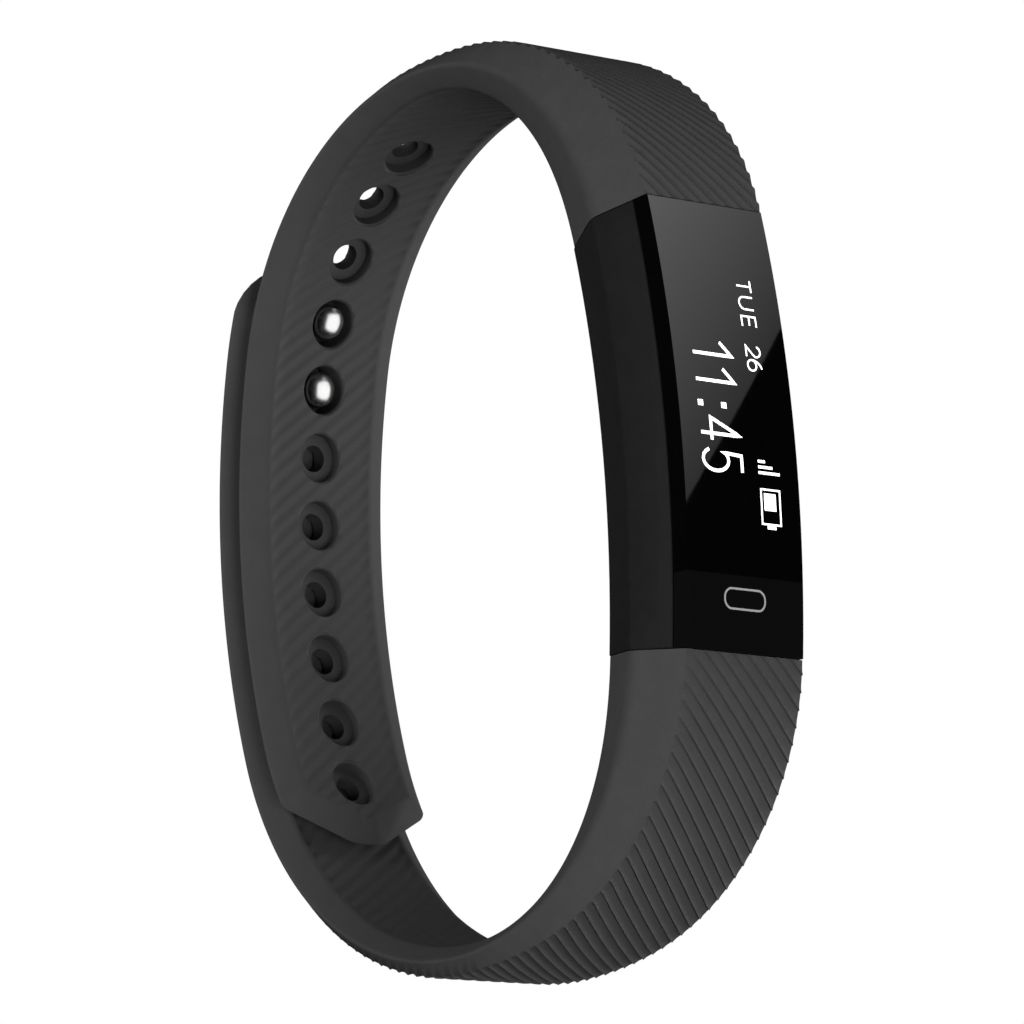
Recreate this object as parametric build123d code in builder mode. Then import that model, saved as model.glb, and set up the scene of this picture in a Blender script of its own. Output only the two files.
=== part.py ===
from build123d import *
import os
from math import atan2, cos, degrees, radians, sin

# Fitness tracker band, closed on the fourth and fifth holes of its strap, lying on its side.
# The loop lies in the XY plane and the wrist goes through it along Z. The display faces -Y.
# +X is the side of the hole strap, -X the side of the clasp strap. Millimetres.

# ---------------------------------------------------------------- driving dimensions
HALF_WIDTH = 7.35            # widest line of the band, halfway through its thickness
FACE_HALF = 5.7              # outer face: display lens and ribbed strap face
INNER_HALF = 5.3             # inner face, against the wrist
MODULE_THICKNESS = 9.7
TAIL_THICKNESS = 2.5         # both straps, past their taper
MODULE_RADIUS = 105.0        # the module's own centre line is curved a little
MODULE_HALF_ANGLE = 9.25     # degrees each way from the middle of the module

# Centre lines of the straps from the module's ends, as (radius, turn in degrees).
HOLE_STRAP_ARCS = ((21.6, 36.9), (21.1, 30.3), (24.1, 86.4))
CLASP_STRAP_ARCS = ((22.2, 66.0),)
BACK_RADIUS = 63.8           # hole strap across the underside of the wrist
HOLE_TAPER = 32.0            # length over which the hole strap thins
CLASP_TAPER = 33.0
STRAP_GAP = 0.2              # between the two straps where one lies on the other

HOLE_COUNT = 11
HOLE_PITCH = 5.7
LAST_HOLE = 97.4             # along the hole strap's centre line, from the module
TIP_BEYOND = 5.7             # strap past its last hole
PEG_HOLES = (4, 5)           # the holes that the pegs sit in
HOLE_RADIUS = 1.1
COUNTERBORE_RADIUS = 2.0
COUNTERBORE_DEPTH = 1.0
PEG_OVERLAP = 3.4            # clasp strap past its first peg

TAIL_SPLIT = 49.0            # hole strap: where its tail starts to flex inwards
TAIL_SPLIT_GAP = 1.7         # room that the inward bend closes up
CLASP_SPLIT = 80.0           # clasp strap's tail hinges here, measured along the hole strap
CLASP_SPLIT_GAP = 0.3

LENS_THICKNESS = 1.2
GLUE = 0.12
WALL = 1.2
Z_MID = HALF_WIDTH           # the band rests on its side, on Z = 0


# ---------------------------------------------------------------- centre lines
def make_path(x, y, heading, sign, arcs):
    """Arcs in a chain. Each is (centre x, centre y, radius, heading at its start, sign, start, length)."""
    path, start = [], 0.0
    for radius, turn in arcs:
        cx = x - sign * radius * sin(radians(heading))
        cy = y + sign * radius * cos(radians(heading))
        length = radius * radians(turn)
        path.append((cx, cy, radius, heading, sign, start, length))
        heading += sign * turn
        x = cx + sign * radius * sin(radians(heading))
        y = cy - sign * radius * cos(radians(heading))
        start += length
    return path


def station(path, s):
    """Point, unit tangent and unit outward normal of a path, s along it."""
    for arc in path:
        cx, cy, radius, heading, sign, start, length = arc
        if s <= start + length or arc is path[-1]:
            h = radians(heading) + sign * (s - start) / radius
            out = (sign * sin(h), -sign * cos(h))
            return (cx + radius * out[0], cy + radius * out[1]), (cos(h), sin(h)), out


def path_length(path):
    return path[-1][5] + path[-1][6]


def section_plane(path, s, offset=0.0):
    """Plane across a strap: local X points out of the loop, the normal runs along the strap."""
    (x, y), tangent, out = station(path, s)
    return Plane(
        origin=(x + offset * out[0], y + offset * out[1], Z_MID),
        x_dir=(out[0], out[1], 0),
        z_dir=(tangent[0], tangent[1], 0),
    )


def face_plane(path, s, offset=0.0):
    """Plane along a strap's surface: local X runs along the strap, the normal points out of the loop."""
    (x, y), tangent, out = station(path, s)
    return Plane(
        origin=(x + offset * out[0], y + offset * out[1], Z_MID),
        x_dir=(tangent[0], tangent[1], 0),
        z_dir=(out[0], out[1], 0),
    )


def bend(path, first, last, outline, mode=Mode.ADD):
    """The outline, in (outward, across) points, swept along the path from first to last."""
    for cx, cy, radius, heading, sign, start, length in path:
        a, b = max(first, start), min(last, start + length)
        if b - a < 1e-6:
            continue
        with BuildSketch(section_plane(path, a + 1e-9)) as profile:
            with BuildLine():
                Polyline(*outline, close=True)
            make_face()
        revolve(
            profile.sketch,
            axis=Axis((cx, cy, 0), (0, 0, sign)),
            revolution_arc=degrees((b - a) / radius),
            mode=mode,
        )


def hexagon(thickness):
    """The band's cross-section: flat outer and inner faces, widest halfway."""
    t = thickness / 2
    return [(t, -FACE_HALF), (t, FACE_HALF), (0, HALF_WIDTH),
            (-t, INNER_HALF), (-t, -INNER_HALF), (0, -HALF_WIDTH)]


def slab(low, high, half):
    return [(low, -half), (low, half), (high, half), (high, -half)]


def thickness_at(s, taper):
    u = min(s / taper, 1.0)
    return TAIL_THICKNESS + (MODULE_THICKNESS - TAIL_THICKNESS) * (1 - u) ** 2 * (1 + 2 * u)


def loop_paths(x0, y0):
    """Module, hole strap and clasp strap, with the module's middle at (x0, y0)."""
    half = MODULE_HALF_ANGLE
    offset = TAIL_THICKNESS + STRAP_GAP
    end_x = MODULE_RADIUS * sin(radians(half))
    end_y = y0 + MODULE_RADIUS - MODULE_RADIUS * cos(radians(half))
    module = make_path(x0 - end_x, end_y, -half, 1, ((MODULE_RADIUS, 2 * half),))
    hole = make_path(x0 + end_x, end_y, half, 1, HOLE_STRAP_ARCS + ((BACK_RADIUS, 1.0),))
    clasp = make_path(x0 - end_x, end_y, 180 - half, -1, CLASP_STRAP_ARCS)

    # One more arc takes the clasp strap, tangent, to the circle that lies around the hole strap.
    bend_arc, back = hole[-2:]
    outer = BACK_RADIUS + offset
    (x, y), tangent, out = station(clasp, path_length(clasp))
    dx, dy = x - back[0], y - back[1]
    joining = (outer ** 2 - dx ** 2 - dy ** 2) / (2 * (outer - out[0] * dx - out[1] * dy))
    meet = degrees(atan2(y - joining * out[1] - back[1], x - joining * out[0] - back[0]))
    across_back = meet - (back[3] - 90)
    heading = degrees(atan2(tangent[1], tangent[0]))
    peg = LAST_HOLE - (HOLE_COUNT - PEG_HOLES[0]) * HOLE_PITCH
    over_bend = degrees((back[5] - (peg - PEG_OVERLAP)) / bend_arc[2])
    clasp_arcs = CLASP_STRAP_ARCS + (
        (joining, heading - (meet - 90)), (outer, across_back), (bend_arc[2] + offset, over_bend))
    clasp = make_path(x0 - end_x, end_y, 180 - half, -1, clasp_arcs)

    # The hole strap's tip follows the clasp strap's joining arc from the inside.
    rest = LAST_HOLE + TIP_BEYOND - back[5] - BACK_RADIUS * radians(across_back)
    tip_radius = joining - offset
    hole_arcs = HOLE_STRAP_ARCS + ((BACK_RADIUS, across_back), (tip_radius, degrees(rest / tip_radius)))
    hole = make_path(x0 + end_x, end_y, half, 1, hole_arcs)
    return module, hole, clasp


def loop_middle():
    """Middle of the loop's outline in X and Y, with the module's middle at (0, 0)."""
    xs, ys = [], []
    module, hole, clasp = loop_paths(0, 0)
    for path, taper in ((hole, HOLE_TAPER), (clasp, CLASP_TAPER)):
        for i in range(0, int(path_length(path) * 4)):
            (x, y), _, out = station(path, i / 4)
            t = thickness_at(i / 4, taper) / 2
            xs.append(x + t * out[0])
            ys.append(y + t * out[1])
    return (min(xs) + max(xs)) / 2, (-MODULE_THICKNESS / 2 + max(ys)) / 2


MIDDLE = loop_middle()
MODULE, HOLE_STRAP, CLASP_STRAP = loop_paths(-MIDDLE[0], -MIDDLE[1])


def clasp_at(s):
    """The length along the clasp strap that lies over s on the hole strap, up to its tip arc."""
    bend_arc, back = HOLE_STRAP[2:4]
    over = bend_arc if s < back[5] else back
    return CLASP_STRAP[-1][5] - (s - back[5]) * (over[2] + TAIL_THICKNESS + STRAP_GAP) / over[2]


def hole_station(number):
    return LAST_HOLE - (HOLE_COUNT - number) * HOLE_PITCH


def finish(part, name):
    part.label = name
    export_step(part, f"parts/{name}.step")


os.makedirs("parts", exist_ok=True)
MODULE_LENGTH = path_length(MODULE)
MODULE_HALF = MODULE_LENGTH / 2
MID_T = MODULE_THICKNESS / 2
TAIL_T = TAIL_THICKNESS / 2


def lies_between(first, last):
    """The stretch of the module's path, in mm each way from its middle."""
    return MODULE_HALF + first, MODULE_HALF + last


def slope_half(u):
    """Half width of the upper housing at height u over the centre line."""
    return HALF_WIDTH + (FACE_HALF - HALF_WIDTH) * u / MID_T


def board_plane(height):
    """Flat plane inside the module at a height over its centre line: local X is +X, the normal is -Y."""
    return Plane(origin=(-MIDDLE[0], -MIDDLE[1] - height, Z_MID), x_dir=(1, 0, 0), z_dir=(0, -1, 0))


# ---------------------------------------------------------------- module: case
LEDGE = MID_T - LENS_THICKNESS        # underside of the lens
CAVITY_HALF = 14.9                    # along the band
CAVITY_SIDE = 5.1                     # across it
WINDOW_HALF = 14.2
WINDOW_SIDE = 4.9
SEAL = (5.75, 6.25, 0.5)              # groove in the back cover's rim: inner, outer, depth
TONGUE = (11.0, 2.1, 9.5, 2.4)        # USB tongue: width, thickness, length outside, inside
TONGUE_U = -1.75
TONGUE_WAY = 4.0                      # opening for it through the case's end wall
TONGUE_STEP = 1.0                     # it is this much narrower inside the case
ANCHOR = (8.0, 2.2, 6.0)              # plain tongue of the other end: width, thickness, length
ANCHOR_U = -1.0
TONGUE_SLACK = 0.1

# Lens: curved glass over the whole outer face.
with BuildPart() as display_lens:
    edge = slope_half(LEDGE)
    bend(MODULE, 0, MODULE_LENGTH,
         [(LEDGE, -edge), (LEDGE, edge), (MID_T, FACE_HALF), (MID_T, -FACE_HALF)])
finish(display_lens.part, "display_lens")

# Glue frame that holds the lens on its ledge.
GLUE_EDGE = 0.25
with BuildPart() as lens_adhesive:
    side = slope_half(LEDGE) - GLUE_EDGE
    bend(MODULE, GLUE_EDGE, MODULE_LENGTH - GLUE_EDGE, slab(LEDGE - GLUE, LEDGE, side))
    bend(MODULE, *lies_between(-WINDOW_HALF, WINDOW_HALF), slab(LEDGE - GLUE, LEDGE, WINDOW_SIDE),
         mode=Mode.SUBTRACT)
finish(lens_adhesive.part, "lens_adhesive")

# Upper housing: from the glue down to the widest line.
TOP = LEDGE - GLUE
CEILING = 2.6
with BuildPart() as upper_housing:
    bend(MODULE, 0, MODULE_LENGTH,
         [(0, -HALF_WIDTH), (0, HALF_WIDTH), (TOP, slope_half(TOP)), (TOP, -slope_half(TOP))])
    bend(MODULE, *lies_between(-CAVITY_HALF, CAVITY_HALF), slab(0, CEILING, CAVITY_SIDE),
         mode=Mode.SUBTRACT)
    bend(MODULE, *lies_between(-WINDOW_HALF, WINDOW_HALF), slab(0, TOP, WINDOW_SIDE),
         mode=Mode.SUBTRACT)
finish(upper_housing.part, "upper_housing")

# Back cover: from the widest line to the face against the wrist, with the seal's groove.
FLOOR = -(MID_T - WALL)
with BuildPart() as back_cover:
    bend(MODULE, 0, MODULE_LENGTH,
         [(0, -HALF_WIDTH), (0, HALF_WIDTH), (-MID_T, INNER_HALF), (-MID_T, -INNER_HALF)])
    bend(MODULE, *lies_between(-CAVITY_HALF, CAVITY_HALF), slab(FLOOR, 0, CAVITY_SIDE),
         mode=Mode.SUBTRACT)
    seal_end = CAVITY_HALF + SEAL[1] - CAVITY_SIDE
    bend(MODULE, *lies_between(-seal_end, seal_end), slab(-SEAL[2], 0, SEAL[1]), mode=Mode.SUBTRACT)
    inner_end = CAVITY_HALF + SEAL[0] - CAVITY_SIDE
    bend(MODULE, *lies_between(-inner_end, inner_end), slab(-SEAL[2], 0, SEAL[0]))
    bend(MODULE, *lies_between(-CAVITY_HALF, CAVITY_HALF), slab(-SEAL[2], 0, CAVITY_SIDE),
         mode=Mode.SUBTRACT)
    # way through the end wall for the USB tongue
    with BuildSketch(section_plane(MODULE, MODULE_LENGTH, TONGUE_U)):
        Rectangle(TONGUE[1] + TONGUE_SLACK, TONGUE[0] + TONGUE_SLACK)
    extrude(amount=-TONGUE_WAY, mode=Mode.SUBTRACT)
finish(back_cover.part, "back_cover")

# Seal between the two halves of the case.
with BuildPart() as case_gasket:
    bend(MODULE, *lies_between(-seal_end, seal_end), slab(-SEAL[2], 0, SEAL[1]))
    bend(MODULE, *lies_between(-inner_end, inner_end), slab(-SEAL[2], 0, SEAL[0]), mode=Mode.SUBTRACT)
finish(case_gasket.part, "case_gasket")

# ---------------------------------------------------------------- module: what it holds
PANEL = (22.5, 9.6, 1.2)              # OLED panel: along, across, thick
PANEL_X = 1.6                         # the panel sits off the middle; the touch key has the other end
PANEL_LOW = 0.75


def board_part(name, size, x, low, across=0.0, corner=0.0):
    """A flat rectangular piece: size along, across and thick, its underside at height low."""
    with BuildPart() as piece:
        with BuildSketch(board_plane(low)):
            with Locations((x, across)):
                if corner:
                    RectangleRounded(size[0], size[1], corner)
                else:
                    Rectangle(size[0], size[1])
        extrude(amount=size[2])
    finish(piece.part, name)


board_part("oled_panel", PANEL, PANEL_X, PANEL_LOW)
board_part("touch_electrode", (4.0, 6.4, 0.3), -12.3, 2.3, corner=0.6)

BOARD = (26.0, 9.4, 0.6)
BOARD_LOW = -0.6
BOARD_X = -0.8
BOARD_TOP = BOARD_LOW + BOARD[2]
board_part("main_board", BOARD, BOARD_X, BOARD_LOW)
board_part("processor_chip", (5.0, 5.0, 0.6), 0.0, BOARD_TOP, -1.0)
board_part("memory_chip", (4.0, 3.0, 0.55), 6.5, BOARD_TOP, 1.5)
board_part("motion_sensor_chip", (2.0, 2.0, 0.6), -6.0, BOARD_TOP, 2.0)
board_part("clock_crystal", (3.2, 1.5, 0.6), -5.5, BOARD_TOP, -2.4)
board_part("chip_antenna", (3.2, 1.6, 0.6), -11.8, BOARD_TOP, -3.4)

BATTERY = (16.5, 9.0, 2.2)
BATTERY_X = 4.6
BATTERY_LOW = -3.45
board_part("battery", BATTERY, BATTERY_X, BATTERY_LOW, corner=0.8)

# Two leads from the battery's end up to the board.
LEAD = 0.5
LEAD_RUN = 1.0                        # how far they stand off the battery's end
LEAD_LOW = BATTERY_LOW + 1.2
LEAD_ACROSS = 2.6
with BuildPart() as battery_leads:
    lead_x = BATTERY_X - BATTERY[0] / 2
    for across in (-LEAD_ACROSS, LEAD_ACROSS):
        with BuildSketch(board_plane(LEAD_LOW)):
            with Locations((lead_x - LEAD_RUN / 2, across)):
                Rectangle(LEAD_RUN, LEAD)
        extrude(amount=LEAD)
        with BuildSketch(board_plane(LEAD_LOW)):
            with Locations((lead_x - LEAD_RUN + LEAD / 2, across)):
                Rectangle(LEAD, LEAD)
        extrude(amount=BOARD_LOW - LEAD_LOW)
finish(battery_leads.part, "battery_leads")

# Ribbon from the panel's end down to the board.
FLEX = (0.15, 6.0)                    # thickness, width
FLEX_RUN = 0.6                        # how far it stands off the panel's end
FLEX_FOOT = 2.4                       # length that lies on the board
FLEX_TOP = PANEL_LOW + 0.4
with BuildPart() as display_flex:
    flex_x = PANEL_X + PANEL[0] / 2
    with BuildSketch(board_plane(FLEX_TOP)):
        with Locations((flex_x + FLEX_RUN / 2, 0)):
            Rectangle(FLEX_RUN, FLEX[1])
    extrude(amount=FLEX[0])
    with BuildSketch(board_plane(BOARD_TOP)):
        with Locations((flex_x + FLEX_RUN - FLEX[0] / 2, 0)):
            Rectangle(FLEX[0], FLEX[1])
    extrude(amount=FLEX_TOP + FLEX[0] - BOARD_TOP)
    with BuildSketch(board_plane(BOARD_TOP)):
        with Locations((flex_x + FLEX_RUN - FLEX_FOOT / 2, 0)):
            Rectangle(FLEX_FOOT, FLEX[1])
    extrude(amount=FLEX[0])
finish(display_flex.part, "display_flex")

# Coin vibration motor: cup, base with its shaft, and the off-centre weight that turns inside.
MOTOR_X = -9.4
MOTOR_RADIUS = 3.5
MOTOR_LOW = -3.5
MOTOR_HEIGHT = 2.2
CUP = 0.25
SHAFT_RADIUS = 0.4
BEARING_SLACK = 0.05


def motor_disc(radius, low, height, mode=Mode.ADD):
    with BuildSketch(board_plane(MOTOR_LOW + low)) as disc:
        with Locations((MOTOR_X, 0)):
            Circle(radius)
    extrude(disc.sketch, amount=height, mode=mode)


with BuildPart() as motor_cup:
    motor_disc(MOTOR_RADIUS, CUP, MOTOR_HEIGHT - CUP)
    motor_disc(MOTOR_RADIUS - CUP, CUP, MOTOR_HEIGHT - 2 * CUP, mode=Mode.SUBTRACT)
finish(motor_cup.part, "motor_cup")

with BuildPart() as motor_base:
    motor_disc(MOTOR_RADIUS, 0, CUP)
finish(motor_base.part, "motor_base")

with BuildPart() as motor_shaft:
    motor_disc(SHAFT_RADIUS, CUP, MOTOR_HEIGHT - 2 * CUP)
finish(motor_shaft.part, "motor_shaft")

ROTOR_GAP = 0.3                       # above and below the weight
ROTOR_LOW = CUP + ROTOR_GAP
ROTOR_HEIGHT = MOTOR_HEIGHT - 2 * ROTOR_LOW
ROTOR_RADIUS = MOTOR_RADIUS - CUP - 0.25
ROTOR_CUT = 1.1                       # the weight reaches this far past its shaft on its light side
with BuildPart() as motor_weight:
    motor_disc(ROTOR_RADIUS, ROTOR_LOW, ROTOR_HEIGHT)
    # the weight is only on one side of the shaft
    with BuildSketch(board_plane(MOTOR_LOW + ROTOR_LOW)):
        with Locations((MOTOR_X - MOTOR_RADIUS / 2 - ROTOR_CUT, 0)):
            Rectangle(MOTOR_RADIUS, 2 * MOTOR_RADIUS)
    extrude(amount=ROTOR_HEIGHT, mode=Mode.SUBTRACT)
    motor_disc(SHAFT_RADIUS + BEARING_SLACK, ROTOR_LOW, ROTOR_HEIGHT, mode=Mode.SUBTRACT)
finish(motor_weight.part, "motor_weight")

# ---------------------------------------------------------------- tongues at the module's ends
END = section_plane(MODULE, MODULE_LENGTH, TONGUE_U)
with BuildPart() as usb_tongue:
    with BuildSketch(END.offset(-TONGUE[3])):
        Rectangle(TONGUE[1], TONGUE[0] - TONGUE_STEP)
    extrude(amount=TONGUE[3])
    with BuildSketch(END):
        Rectangle(TONGUE[1], TONGUE[0])
    extrude(amount=TONGUE[2])
finish(usb_tongue.part, "usb_tongue")

CONTACT = (0.15, 1.3, 7.5)            # thickness, width, length
CONTACT_START = 1.2
CONTACT_PITCH = 2.6
with BuildPart() as usb_contacts:
    with BuildSketch(END.offset(CONTACT_START)):
        for place in (-1.5, -0.5, 0.5, 1.5):
            with Locations((TONGUE[1] / 2 + CONTACT[0] / 2, place * CONTACT_PITCH)):
                Rectangle(CONTACT[0], CONTACT[1])
    extrude(amount=CONTACT[2])
finish(usb_contacts.part, "usb_contacts")

# The other end's plain tongue keys into the clasp strap.
ANCHOR_END = section_plane(CLASP_STRAP, 0, ANCHOR_U)
with BuildPart() as anchor_tongue:
    with BuildSketch(ANCHOR_END):
        Rectangle(ANCHOR[1], ANCHOR[0])
    extrude(amount=ANCHOR[2])
finish(anchor_tongue.part, "anchor_tongue")

# ---------------------------------------------------------------- straps
JOINT = 0.05                          # hairline between a strap and the module


def shoulder(path, taper, steps=9):
    """The tapering stretch of a strap next to the module."""
    sections = []
    for i in range(steps + 1):
        s = JOINT + (taper - JOINT) * i / steps
        with BuildSketch(section_plane(path, s)) as section:
            with BuildLine():
                Polyline(*hexagon(thickness_at(s, taper)), close=True)
            make_face()
        sections.append(section.sketch)
    loft(sections, ruled=True)


def cut_holes(numbers, radius, low, high):
    """Round cuts across the hole strap, between two heights over its centre line."""
    for number in numbers:
        with BuildSketch(face_plane(HOLE_STRAP, hole_station(number), low)) as cut:
            Circle(radius)
        extrude(cut.sketch, amount=high - low, mode=Mode.SUBTRACT)


BEYOND = 1.0
free = [n for n in range(1, HOLE_COUNT + 1) if n not in PEG_HOLES]
near = [n for n in range(1, HOLE_COUNT + 1) if hole_station(n) < TAIL_SPLIT]
POCKET = 2 * TONGUE_SLACK

with BuildPart() as hole_strap_shoulder:
    shoulder(HOLE_STRAP, HOLE_TAPER)
    bend(HOLE_STRAP, HOLE_TAPER, TAIL_SPLIT - TAIL_SPLIT_GAP / 2, hexagon(TAIL_THICKNESS))
    with BuildSketch(END):
        Rectangle(TONGUE[1] + POCKET + 2 * CONTACT[0], TONGUE[0] + POCKET)
    extrude(amount=TONGUE[2] + TONGUE_SLACK, mode=Mode.SUBTRACT)
    cut_holes(near, HOLE_RADIUS, -TAIL_T - BEYOND, TAIL_T + BEYOND)
    cut_holes(near, COUNTERBORE_RADIUS, -TAIL_T - BEYOND, -TAIL_T + COUNTERBORE_DEPTH)
finish(hole_strap_shoulder.part, "hole_strap_shoulder")

# The tail ends in a blunt point.
TIP = path_length(HOLE_STRAP)
TIP_DEPTH = 3.6
TIP_FLAT = 1.3
with BuildPart() as hole_strap_tail:
    bend(HOLE_STRAP, TAIL_SPLIT + TAIL_SPLIT_GAP / 2, TIP, hexagon(TAIL_THICKNESS))
    tail_holes = [n for n in free if n not in near]
    cut_holes(tail_holes, HOLE_RADIUS, -TAIL_T - BEYOND, TAIL_T + BEYOND)
    cut_holes(tail_holes, COUNTERBORE_RADIUS, -TAIL_T - BEYOND, -TAIL_T + COUNTERBORE_DEPTH)
    # the pegs stretch the two holes that they sit in
    cut_holes(PEG_HOLES, COUNTERBORE_RADIUS, -TAIL_T - BEYOND, TAIL_T + BEYOND)
    with BuildSketch(face_plane(HOLE_STRAP, TIP, -TAIL_T - BEYOND)):
        for side in (-1, 1):
            with BuildLine():
                Polyline((1, side * TIP_FLAT), (0, side * TIP_FLAT), (-TIP_DEPTH, side * HALF_WIDTH),
                         (-TIP_DEPTH, side * (HALF_WIDTH + 1)), (1, side * (HALF_WIDTH + 1)), close=True)
            make_face()
    extrude(amount=TAIL_THICKNESS + 2 * BEYOND, mode=Mode.SUBTRACT)
finish(hole_strap_tail.part, "hole_strap_tail")

SPLIT = clasp_at(CLASP_SPLIT)
with BuildPart() as clasp_strap_shoulder:
    shoulder(CLASP_STRAP, CLASP_TAPER)
    bend(CLASP_STRAP, CLASP_TAPER, SPLIT - CLASP_SPLIT_GAP / 2, hexagon(TAIL_THICKNESS))
    with BuildSketch(ANCHOR_END):
        Rectangle(ANCHOR[1] + POCKET, ANCHOR[0] + POCKET)
    extrude(amount=ANCHOR[2] + TONGUE_SLACK, mode=Mode.SUBTRACT)
finish(clasp_strap_shoulder.part, "clasp_strap_shoulder")

# The clasp: a spring-steel plate moulded into the strap's tail, and the two pegs it carries.
PLATE = (0.5, 3.6)                    # thickness, half width
PLATE_END = 2.0                       # past each peg
PEG_NECK = 0.9
PEG_HEAD = 1.5
HEAD_HEIGHT = 0.95
HEAD_BASE = -TAIL_T + 0.1 + HEAD_HEIGHT   # height of the head's underside over the hole strap's centre
HEAD_ROUNDING = 0.6
PEG_FOOT = TAIL_THICKNESS + STRAP_GAP - PLATE[0] / 2
first_peg, second_peg = (clasp_at(hole_station(n)) for n in PEG_HOLES)
plate_from, plate_to = second_peg - PLATE_END, first_peg + PLATE_END
TAIL_END = path_length(CLASP_STRAP)
CORNER = 3.2

with BuildPart() as clasp_strap_tail:
    bend(CLASP_STRAP, SPLIT + CLASP_SPLIT_GAP / 2, TAIL_END, hexagon(TAIL_THICKNESS))
    bend(CLASP_STRAP, plate_from, plate_to, slab(-PLATE[0] / 2, PLATE[0] / 2, PLATE[1]),
         mode=Mode.SUBTRACT)
    for number in PEG_HOLES:
        with BuildSketch(face_plane(HOLE_STRAP, hole_station(number), TAIL_T + STRAP_GAP / 2)):
            Circle(PEG_NECK)
        extrude(amount=PEG_FOOT - TAIL_T - STRAP_GAP / 2, mode=Mode.SUBTRACT)
    with BuildSketch(face_plane(CLASP_STRAP, TAIL_END, -TAIL_T - BEYOND)):
        for side in (-1, 1):
            with BuildLine():
                Polyline((1, side * (HALF_WIDTH - CORNER)), (0, side * (HALF_WIDTH - CORNER)),
                         (-CORNER, side * HALF_WIDTH), (-CORNER, side * (HALF_WIDTH + 1)),
                         (1, side * (HALF_WIDTH + 1)), close=True)
            make_face()
    extrude(amount=TAIL_THICKNESS + 2 * BEYOND, mode=Mode.SUBTRACT)
finish(clasp_strap_tail.part, "clasp_strap_tail")

with BuildPart() as clasp_plate:
    bend(CLASP_STRAP, plate_from, plate_to, slab(-PLATE[0] / 2, PLATE[0] / 2, PLATE[1]))
    for number in PEG_HOLES:
        cut_holes((number,), PEG_NECK, TAIL_T, TAIL_T + 2 * TAIL_THICKNESS)
finish(clasp_plate.part, "clasp_plate")

for name, number in zip(("clasp_peg_end", "clasp_peg_inner"), PEG_HOLES):
    with BuildPart() as peg:
        base = face_plane(HOLE_STRAP, hole_station(number), HEAD_BASE)
        with BuildSketch(base):
            Circle(PEG_NECK)
        extrude(amount=PEG_FOOT - HEAD_BASE + PLATE[0])
        with BuildSketch(base):
            Circle(PEG_HEAD)
        extrude(amount=-HEAD_HEIGHT)
        circles = peg.edges().filter_by(GeomType.CIRCLE)
        head_edges = circles.filter_by(lambda e: abs(e.radius - PEG_HEAD) < 1e-3)
        inside = face_plane(HOLE_STRAP, hole_station(number), HEAD_BASE - 2 * HEAD_HEIGHT).origin
        fillet(head_edges.sort_by_distance(inside)[0], HEAD_ROUNDING)
    finish(peg.part, name)
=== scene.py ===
from itertools import combinations
from math import atan2, cos, degrees, hypot, pi, radians, sin

import bmesh
import bpy
from mathutils import Matrix, Vector


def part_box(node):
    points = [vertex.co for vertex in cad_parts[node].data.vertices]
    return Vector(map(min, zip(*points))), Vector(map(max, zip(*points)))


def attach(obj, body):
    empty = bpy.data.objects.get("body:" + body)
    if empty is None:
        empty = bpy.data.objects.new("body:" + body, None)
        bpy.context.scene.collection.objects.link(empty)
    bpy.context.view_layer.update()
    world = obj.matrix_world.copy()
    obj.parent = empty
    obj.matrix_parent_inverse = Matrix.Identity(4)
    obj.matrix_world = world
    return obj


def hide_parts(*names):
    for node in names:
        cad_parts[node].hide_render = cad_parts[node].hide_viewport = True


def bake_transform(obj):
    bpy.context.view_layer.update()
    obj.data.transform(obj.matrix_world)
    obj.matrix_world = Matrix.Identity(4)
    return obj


# Fitness tracker band, closed on the fourth and fifth holes of its strap, lying on its side.
# The loop lies in the XY plane and the wrist goes through it along Z. The display faces -Y.
# +X is the side of the hole strap, -X the side of the clasp strap.
# Shapes are worked out in millimetres and turned into metres as each mesh is made.

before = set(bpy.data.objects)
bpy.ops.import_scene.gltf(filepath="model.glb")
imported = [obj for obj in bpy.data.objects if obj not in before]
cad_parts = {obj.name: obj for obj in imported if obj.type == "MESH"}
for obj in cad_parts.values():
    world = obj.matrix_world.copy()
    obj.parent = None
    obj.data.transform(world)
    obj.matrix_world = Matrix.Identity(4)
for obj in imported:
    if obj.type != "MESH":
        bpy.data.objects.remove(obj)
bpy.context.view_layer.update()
MM = 0.001

# ---------------------------------------------------------------- the part's own dimensions
HALF_WIDTH = 7.35            # at the ridges along the sides
FACE_HALF = 5.7              # half width of the outer face
INNER_HALF = 5.3             # half width of the inner face
MODULE_THICKNESS = 9.7
TAIL_THICKNESS = 2.5
HALF_TAIL = TAIL_THICKNESS / 2
MODULE_RADIUS = 105.0        # of its centre line
MODULE_HALF_ANGLE = 9.25
HOLE_STRAP_ARCS = ((21.6, 36.9), (21.1, 30.3), (24.1, 86.4))     # radius and turn in degrees
CLASP_STRAP_ARCS = ((22.2, 66.0),)
BACK_RADIUS = 63.8           # of the flatter stretch across from the module
HOLE_TAPER = 32.0            # each strap thins to its tail's thickness over this length
CLASP_TAPER = 33.0
STRAP_GAP = 0.2
HOLE_COUNT = 11
HOLE_PITCH = 5.7
LAST_HOLE = 97.4             # along the hole strap
TIP_BEYOND = 5.7             # from the last hole to the tip
PEG_HOLES = (4, 5)
HOLE_RADIUS = 1.1
COUNTERBORE_RADIUS = 2.0
COUNTERBORE_DEPTH = 1.0
PEG_OVERLAP = 3.4            # from the end peg to the clasp strap's end
LENS_THICKNESS = 1.2
TIP_DEPTH = 3.6              # how far back the tip's slanted lines reach
TIP_FLAT = 1.3               # half width of the tip's flat end
JOINT = 0.05                 # hairline between a strap and the module
TONGUE = (11.4, 2.6, 9.6)    # pocket for the USB tongue: across, outward, deep
TONGUE_U = -1.75             # the pocket's middle, outward from the centre line
ANCHOR = (8.2, 2.4, 6.1)     # pocket for the plain tongue of the other end
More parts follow.
